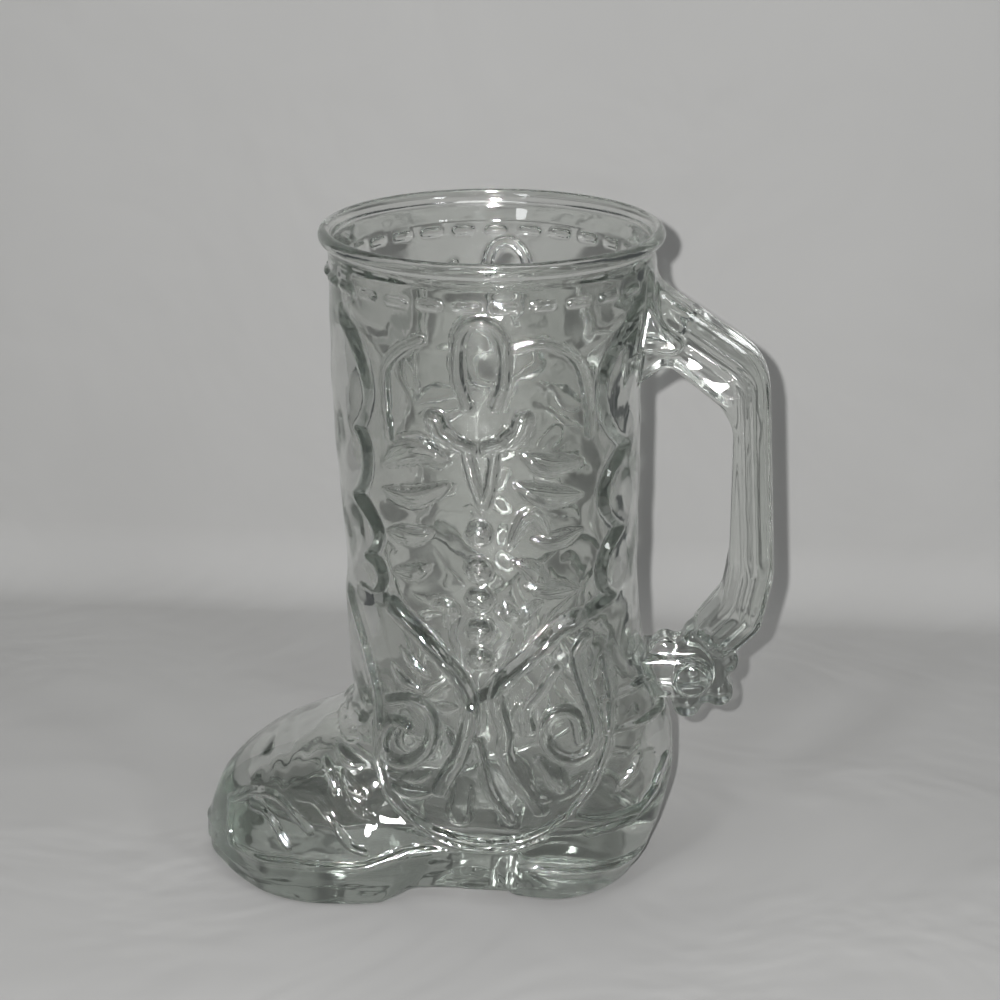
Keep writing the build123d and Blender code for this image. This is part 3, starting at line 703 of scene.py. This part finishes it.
# Slow waves in the glass outside and inside: direction, length, phase and height of each
OUTER_WAVES = [
    ((1.0, 0.4, 0.3), 17.0, 0.4, 0.06), ((-0.3, 0.5, 1.0), 13.0, 2.1, 0.06),
    ((0.8, -0.6, 0.7), 9.5, 4.0, 0.03), ((0.6, 0.2, -1.0), 11.0, 1.2, 0.04),
    ((0.1, 1.0, 0.6), 8.0, 5.1, 0.02), ((1.0, 0.0, 0.9), 6.5, 3.3, 0.015),
]
INNER_WAVES = [
    ((1.0, 0.2, 0.5), 24.0, 1.4, 0.16), ((-0.6, 0.4, 1.0), 18.0, 0.3, 0.14),
    ((0.9, 0.8, -0.5), 13.0, 2.7, 0.07), ((0.2, -0.7, 1.0), 10.0, 4.4, 0.04),
]


def waves(terms):
    """The sum of slow waves through space."""
    total = 0
    for (a, b, c), length, phase, size in terms:
        k = tau / length / np.sqrt(a * a + b * b + c * c)
        total = total + size * np.sin(k * (a * X + b * Y + c * Z) + phase)
    return total


STITCH_COUNT = 28
STITCH_PHASE_SHARE = 0.25
STITCH_LEVEL = 145.6
STITCH_HALF_LENGTH = 2.9
STITCH_HALF_HEIGHT = 1.05
STITCH_RELIEF = 0.95
STITCH_CLEAR_OF_HANDLE = 2.2


def stitches():
    """The ring of stitches under the rim, as heights over the leg's surface."""
    angle = np.arctan2(Y, X)
    pitch = tau / STITCH_COUNT
    off = np.abs((angle / pitch + STITCH_PHASE_SHARE) % 1 - 0.5) * pitch * NECK_R
    end = (off / STITCH_HALF_LENGTH) ** 4
    side = ((Z - STITCH_LEVEL) / STITCH_HALF_HEIGHT) ** 2
    clear = X < NECK_R - STITCH_CLEAR_OF_HANDLE
    return (STITCH_RELIEF * np.sqrt(np.clip(1 - end - side, 0, 1)) * clear).astype(np.float32)


def fade_in(values, start, length):
    """Shares that rise from 0 to 1 over a length."""
    return np.clip((values - start) / length, 0, 1)


# Where the ornament and the waves fade out: at the mould's seam, under the rim and above the sole
SEAM_HALF = 2.0
SEAM_FADE = 3.0
OUTER_WAVES_TOP = 146.0
OUTER_WAVES_TOP_FADE = 8.0
OUTER_WAVES_FOOT = 9.0
OUTER_WAVES_FOOT_FADE = 6.0
INNER_WAVES_TOP = 148.0
INNER_WAVES_TOP_FADE = 12.0
# Fillets where each part joins the boot
SOLE_FILLET = 0.8
RIM_FILLET = 1.6
STRAP_FILLET = 0.6
HANDLE_FILLET = 1.0
SPUR_ROOT_FILLET = 0.9
LIP_ROUND = 0.8


def glass_field():
    """Signed distance to the glass over half the boot, negative in the glass."""
    ripples = waves(OUTER_WAVES) * fade_in(-Z, -OUTER_WAVES_TOP, OUTER_WAVES_TOP_FADE)
    ripples = ripples * fade_in(Z, OUTER_WAVES_FOOT, OUTER_WAVES_FOOT_FADE)
    ornament = side_map(relief - PANEL_DEPTH * PANEL) * fade_in(Y, SEAM_HALF, SEAM_FADE)
    outer = outer_form() - ornament - ripples - stitches()
    outer = smin(outer, bottom(), SOLE_FILLET)
    outer = smin(outer, rim_form(), RIM_FILLET)
    bar, strap = handle_form()
    outer = smin(outer, strap, STRAP_FILLET)
    outer = smin(outer, bar, HANDLE_FILLET)
    outer = smin(outer, spur_form(), SPUR_ROOT_FILLET)
    inner = hollow() - waves(INNER_WAVES) * fade_in(-Z, -INNER_WAVES_TOP, INNER_WAVES_TOP_FADE)
    return smax(outer, -inner, LIP_ROUND)


def glass_mesh():
    """The glass as one smooth closed mesh in metres, in the row's frame."""
    band = 4 * VOXEL
    field = np.clip(glass_field(), -band, band).astype(np.float32)
    whole = np.ascontiguousarray(np.concatenate([field[:, :0:-1], field], axis=1))
    grid = openvdb.FloatGrid(band)
    grid.copyFromArray(whole)
    grid.transform = openvdb.createLinearTransform(voxelSize=VOXEL)
    points, triangles, quads = grid.convertToPolygons(isovalue=0.0, adaptivity=0.0)
    points = points + np.array([gx[0] + LEG_X, -gy[-1], gz[0]])
    points[:, 2] = np.maximum(points[:, 2], 0.0)
    mesh = bpy.data.meshes.new("boot_glass")
    mesh.from_pydata((points * MM).tolist(), [], quads.tolist() + triangles.tolist())
    mesh.validate()
    mesh.update()
    mesh.polygons.foreach_set("use_smooth", np.ones(len(mesh.polygons), bool))
    places = points - (LEG_X, 0, 0)
    # The mesh carries the painted shade and the share of lamp light bent aside at its points
    for name, values in (("painted_shade", painted_shade(places)), ("light_bent", light_bent(places))):
        mesh.attributes.new(name, "FLOAT", "POINT").data.foreach_set("value", values.astype(np.float32))
    return mesh


# Painted shade on the glass of the spur, the sole's sides and the toe, beside the painted shade on the panel's
# edge
SPUR_SHADE = 1.0
SOLE_SHADE = 0.8
TOE_SHADE = 0.6
# The skin that the painted shade reaches: how far in from the ornament's top, and how far from the mould's
# seam
SKIN_DEPTH = 2.6
SHADE_SEAM_HALF = 4.0
SHADE_SEAM_FADE = 3.0
UNDER_WELT = 1.2
UNDER_WELT_FADE = 0.8
OVER_GROUND = 0.4
TOE_FACE_X = -61.4
TOE_FACE_TOP = 24.0
TOE_FACE_FADE = 6.0


def painted_shade(points):
    """Painted shade on the glass: 1 on the panel's steep edge, less on flanks, spur, sole and toe, else 0."""
    x, y, z = points.T
    u = np.interp(x, gx, np.arange(len(gx)))
    v = np.interp(z, gz, np.arange(len(gz)))
    edge = PAINTED_SHADE_MAP[np.rint(u).astype(int), np.rint(v).astype(int)]
    skin = np.interp(z, gz, half) - np.hypot(x, y)
    outside = np.clip(SKIN_DEPTH - skin, 0, 1) * fade_in(np.abs(y), SHADE_SEAM_HALF, SHADE_SEAM_FADE)
    spur = (x > COUNTER) & (z < ROWEL_Z + LOBE_REACH + LOBE_R)
    welt = np.interp(x, *zip(*WELT_LINE))
    sole = fade_in(welt - z, UNDER_WELT, UNDER_WELT_FADE) * (z > OVER_GROUND)
    toe = fade_in(-x, -TOE_FACE_X, 1) * fade_in(-z, -TOE_FACE_TOP, TOE_FACE_FADE)
    return np.maximum.reduce([edge * outside, SPUR_SHADE * spur, SOLE_SHADE * sole, TOE_SHADE * toe])


# Where light is bent aside: from how far behind the leg, and the share of it that is lost there, at the
# handle's outer edge beside that, and at the rim
BENT_START = 1.0
BENT_BEHIND = 0.35
BENT_EDGE = 0.6
BENT_RIM = 0.75
BENT_EDGE_WIDTH = 6.0
BENT_EDGE_FADE = 4.0


def light_bent(points):
    """The share of a lamp's light that the rim, handle and spur turn aside, out of their shadow's place."""
    x, _, z = points.T
    edge = path_distance(x, z, rounded(HANDLE_OUTER, HANDLE_OUTER_ROUNDS))
    behind = x > np.interp(z, gz, back) + BENT_START
    near_edge = fade_in(-edge, -BENT_EDGE_WIDTH, BENT_EDGE_FADE)
    return np.maximum(behind * (BENT_BEHIND + BENT_EDGE * near_edge), BENT_RIM * (z > RIM_LEVEL))


# Materials
def new_material(name):
    """An empty node material and its tree, ready for nodes."""
    material = bpy.data.materials.new(name)
    material.use_nodes = True
    material.node_tree.nodes.clear()
    return material, material.node_tree


def add_node(tree, kind, **inputs):
    """A node of a kind, with values for the inputs named, where an underscore stands for a space."""
    node = tree.nodes.new("ShaderNode" + kind)
    for name, value in inputs.items():
        node.inputs[name.replace("_", " ")].default_value = value
    return node


def add_ramp(tree, *stops):
    """A colour ramp with a place and a colour for each of its two stops."""
    node = add_node(tree, "ValToRGB")
    for element, (place, colour) in zip(node.color_ramp.elements, stops):
        element.position = place
        element.color = (*colour, 1)
    return node


def add_attribute(tree, name):
    """A value that the mesh carries at each of its points."""
    node = add_node(tree, "Attribute")
    node.attribute_name = name
    return node


def add_colour_mix(tree, **colours):
    """A mix of two colours, A and B."""
    node = tree.nodes.new("ShaderNodeMix")
    node.data_type = "RGBA"
    for name, colour in colours.items():
        node.inputs[name].default_value = (*colour, 1)
    return node


def add_bump(tree, noise, coordinates, shader, strength, distance):
    """Unevenness from a noise in the object's own space, on a shader's surface."""
    bump = add_node(tree, "Bump", Strength=strength, Distance=distance)
    tree.links.new(coordinates.outputs["Object"], noise.inputs["Vector"])
    tree.links.new(noise.outputs["Fac"], bump.inputs["Height"])
    tree.links.new(bump.outputs["Normal"], shader.inputs["Normal"])


# The glass, and the same glass darkened by painted shade where the real glass turns light aside
GLASS_COLOUR = (0.86, 0.87, 0.852)
PAINTED_SHADE_COLOUR = (0.43, 0.452, 0.435)
BODY_COLOUR = (0.87, 0.885, 0.872)
BODY_DENSITY = 60.0
# The light that the glass lets through into its shadow: square to it, along it, and where it is bent aside
SHADOW_SQUARE = (0.99, 0.995, 0.99)
SHADOW_ALONG = (0.10, 0.11, 0.105)
SHADOW_BENT = (0.05, 0.05, 0.05)
SQUARE_UP_TO = 0.22
ALONG_FROM = 0.55


def glass_material():
    """Clear pressed glass with a faint grey-green body and a fire-polished, slightly uneven surface."""
    material, tree = new_material("clear_glass")
    link = tree.links.new
    out = add_node(tree, "OutputMaterial")
    shader = add_node(tree, "BsdfPrincipled", Roughness=0.04, IOR=1.5, Transmission_Weight=1.0)
    noise = add_node(tree, "TexNoise", Scale=95.0, Detail=1.5)
    add_bump(tree, noise, add_node(tree, "TexCoord"), shader, strength=0.10, distance=0.003)
    # Painted shade: the base colour darkens toward the shade colour where the mesh's painted shade value is
    # high
    edge = add_attribute(tree, "painted_shade")
    body = add_colour_mix(tree, A=GLASS_COLOUR, B=PAINTED_SHADE_COLOUR)
    link(edge.outputs["Fac"], body.inputs["Factor"])
    link(body.outputs["Result"], shader.inputs["Base Color"])
    absorb = add_node(tree, "VolumeAbsorption", Color=(*BODY_COLOUR, 1), Density=BODY_DENSITY)
    link(absorb.outputs["Volume"], out.inputs["Volume"])
    path = add_node(tree, "LightPath")
    facing = add_node(tree, "LayerWeight", Blend=0.35)
    passing = add_ramp(tree, (SQUARE_UP_TO, SHADOW_SQUARE), (ALONG_FROM, SHADOW_ALONG))
    bent = add_attribute(tree, "light_bent")
    left = add_colour_mix(tree, B=SHADOW_BENT)
    through = add_node(tree, "BsdfTransparent")
    mix = add_node(tree, "MixShader")
    link(facing.outputs["Facing"], passing.inputs["Fac"])
    link(bent.outputs["Fac"], left.inputs["Factor"])
    link(passing.outputs["Color"], left.inputs["A"])
    link(left.outputs["Result"], through.inputs["Color"])
    link(path.outputs["Is Shadow Ray"], mix.inputs[0])
    link(shader.outputs["BSDF"], mix.inputs[1])
    link(through.outputs["BSDF"], mix.inputs[2])
    link(mix.outputs["Shader"], out.inputs["Surface"])
    return material


CLOTH_COLOUR = (0.56, 0.555, 0.545)
CLOTH_SHADE = 0.96


def cloth_material(name, colour):
    """Pale creased cloth for the floor and backdrop, clear from behind so that it hides nothing there."""
    material, tree = new_material(name)
    link = tree.links.new
    out = add_node(tree, "OutputMaterial")
    shader = add_node(tree, "BsdfPrincipled", Roughness=0.9, Specular_IOR_Level=0.0)
    coordinates = add_node(tree, "TexCoord")
    noise = add_node(tree, "TexNoise", Scale=9.0, Detail=6.0)
    ramp = add_ramp(tree, (0.3, [c * CLOTH_SHADE for c in colour]), (0.7, colour))
    link(coordinates.outputs["Object"], noise.inputs["Vector"])
    link(noise.outputs["Fac"], ramp.inputs["Fac"])
    link(ramp.outputs["Color"], shader.inputs["Base Color"])
    creases = add_node(tree, "TexNoise", Scale=13.0, Detail=3.0, Distortion=0.9)
    add_bump(tree, creases, coordinates, shader, strength=0.35, distance=0.008)
    sides = add_node(tree, "NewGeometry")
    clear = add_node(tree, "BsdfTransparent")
    mix = add_node(tree, "MixShader")
    link(sides.outputs["Backfacing"], mix.inputs[0])
    link(shader.outputs["BSDF"], mix.inputs[1])
    link(clear.outputs["BSDF"], mix.inputs[2])
    link(mix.outputs["Shader"], out.inputs["Surface"])
    return material


def add_object(name, data):
    """Links a new object for some data."""
    made = bpy.data.objects.new(name, data)
    bpy.context.scene.collection.objects.link(made)
    return made


def light(name, place, aim, power, size, colour=(1, 1, 1)):
    """An area lamp at a place in metres, turned toward its aim: round, or upright where size is a pair."""
    data = bpy.data.lights.new(name, "AREA")
    data.energy = power
    data.color = colour
    data.shape = "RECTANGLE" if isinstance(size, tuple) else "DISK"
    data.size, data.size_y = size if isinstance(size, tuple) else (size, size)
    made = add_object(name, data)
    made.location = place
    made.rotation_euler = (Vector(aim) - Vector(place)).to_track_quat("-Z", "Y").to_euler()
    return made


glass = add_object("boot_glass", glass_mesh())
glass.data.materials.append(glass_material())
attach(glass, "root")
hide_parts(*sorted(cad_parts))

# From here on, places are in metres. The camera stands at the photograph's angle
AXIS_X = LEG_X * MM
CAMERA_PITCH = radians(70.512)
CAMERA_TURN = radians(4.797)
camera_data = bpy.data.cameras.new("camera")
camera_data.lens = 86.4
camera_data.sensor_width = 36
camera = add_object("camera", camera_data)
camera.location = (0.04507 + AXIS_X, -0.51516, 0.27383)
camera.rotation_euler = (CAMERA_PITCH, 0, CAMERA_TURN)
bpy.context.scene.camera = camera

# The stage: cloth under the boot that rises behind it in a soft bend
CLOTH_FRONT = -0.42
CLOTH_LEFT = -0.30
CLOTH_RIGHT = 0.17
CLOTH_TOP = 0.8
BACKDROP_Y = 0.170
FLOOR_Z = -0.0004
BEND_R = 0.020
BEND_STEPS = 8
CLOTH_COLUMNS = 60
FLOOR_ROWS = (CLOTH_FRONT, -0.2, -0.1, BACKDROP_Y - BEND_R)
BACKDROP_ROWS = (0.1, 0.3, CLOTH_TOP)


def cloth_stage():
    """The cloth as one sheet: floor, bend and backdrop."""
    profile = [(y, 0.0) for y in FLOOR_ROWS]
    for step in range(1, BEND_STEPS + 1):
        turn = pi / 2 * step / BEND_STEPS
        profile.append((BACKDROP_Y - BEND_R + BEND_R * sin(turn), BEND_R - BEND_R * cos(turn)))
    profile += [(BACKDROP_Y, z) for z in BACKDROP_ROWS]
    corners = []
    for y, z in profile:
        for x in np.linspace(CLOTH_LEFT, CLOTH_RIGHT, CLOTH_COLUMNS + 1):
            corners.append((x, y, z + FLOOR_Z))
    faces = []
    across = CLOTH_COLUMNS + 1
    for row in range(len(profile) - 1):
        for first in range(row * across, row * across + CLOTH_COLUMNS):
            faces.append((first, first + 1, first + across + 1, first + across))
    mesh = bpy.data.meshes.new("cloth")
    mesh.from_pydata(corners, [], faces)
    mesh.materials.append(cloth_material("pale_cloth", CLOTH_COLOUR))
    mesh.polygons.foreach_set("use_smooth", np.ones(len(mesh.polygons), bool))
    made = add_object("cloth", mesh)
    return made


cloth = cloth_stage()

# The flash beside the lens, and lamps that only make glints on the glass: place, aim, power and size
lens = Vector(camera.location)
left = Vector((-cos(CAMERA_TURN), -sin(CAMERA_TURN), 0))
up = Vector((0, 0, 1))
BOOT_MIDDLE = (0, 0, 0.07)
light("lamp_by_lens", lens + left * 0.014 + up * 0.010, BOOT_MIDDLE, 2.6, 0.005)
GLINTS = {
    "glint": (lens + left * 0.030 + up * 0.020, BOOT_MIDDLE, 36.0, 0.075),
    "glint_top": ((0.02, -0.22, 0.75), (0, 0, 0.06), 14.0, 0.035),
    "glint_low": ((0.0515 + AXIS_X, -0.25, 0.0625), (0.05 + AXIS_X, 0, 0.125), 0.18, 0.026),
    "glint_floor": ((-0.006 + AXIS_X, -0.150, 0.009), (-0.004, -0.03, 0.028), 0.03, 0.010),
}
glint_receivers = bpy.data.collections.new("glint_receivers")
glint_receivers.objects.link(glass)
for name, (place, aim, power, size) in GLINTS.items():
    lamp = light(name, place, aim, power, size)
    lamp.light_linking.receiver_collection = glint_receivers

# Light that the glass gathers on the cloth under its parts: place and size in millimetres, and power
GATHERED = {
    "gathered_foot": ((-40.0, 0.0, 5.0), (42.0, 34.0), 0.0016),
    "gathered_arch": ((-4.0, -14.0, 4.0), (13.0, 16.0), 0.0007),
    "gathered_heel": ((17.0, 0.0, 5.0), (24.0, 26.0), 0.0008),
}
gathered_receivers = bpy.data.collections.new("gathered_receivers")
gathered_receivers.objects.link(cloth)
for name, ((x, y, z), (length, width), power) in GATHERED.items():
    place = Vector((x + LEG_X, y, z)) * MM
    lamp = light(name, place, place - up, power, (length * MM, width * MM))
    lamp.light_linking.receiver_collection = gathered_receivers
    lamp.visible_camera = False
    lamp.visible_glossy = False
    lamp.visible_transmission = False

# Soft studio light
DAYLIGHT = (0.97, 0.99, 1.0)
BOOT_LOW = (0, 0, 0.05)
light("window", (-0.30, -0.80, 0.85), BOOT_LOW, 1.3, (0.12, 0.32), DAYLIGHT)
light("side_window", (0.55, -0.50, 0.55), BOOT_LOW, 0.7, (0.10, 0.16), DAYLIGHT)
light("ceiling", (0.1, -0.2, 1.2), (0, 0, 0), 1.5, 0.5)
world = bpy.data.worlds.new("studio")
world.use_nodes = True
background = world.node_tree.nodes["Background"]
background.inputs["Color"].default_value = (0.62, 0.66, 0.68, 1)
background.inputs["Strength"].default_value = 0.10
bpy.context.scene.world = world

# Light runs far inside the walls, and the stage stays plain under it
bpy.context.scene.view_settings.view_transform = "Standard"
paths = bpy.context.scene.cycles
paths.max_bounces = 40
paths.transmission_bounces = 40
paths.glossy_bounces = 16
paths.caustics_reflective = False
paths.caustics_refractive = False
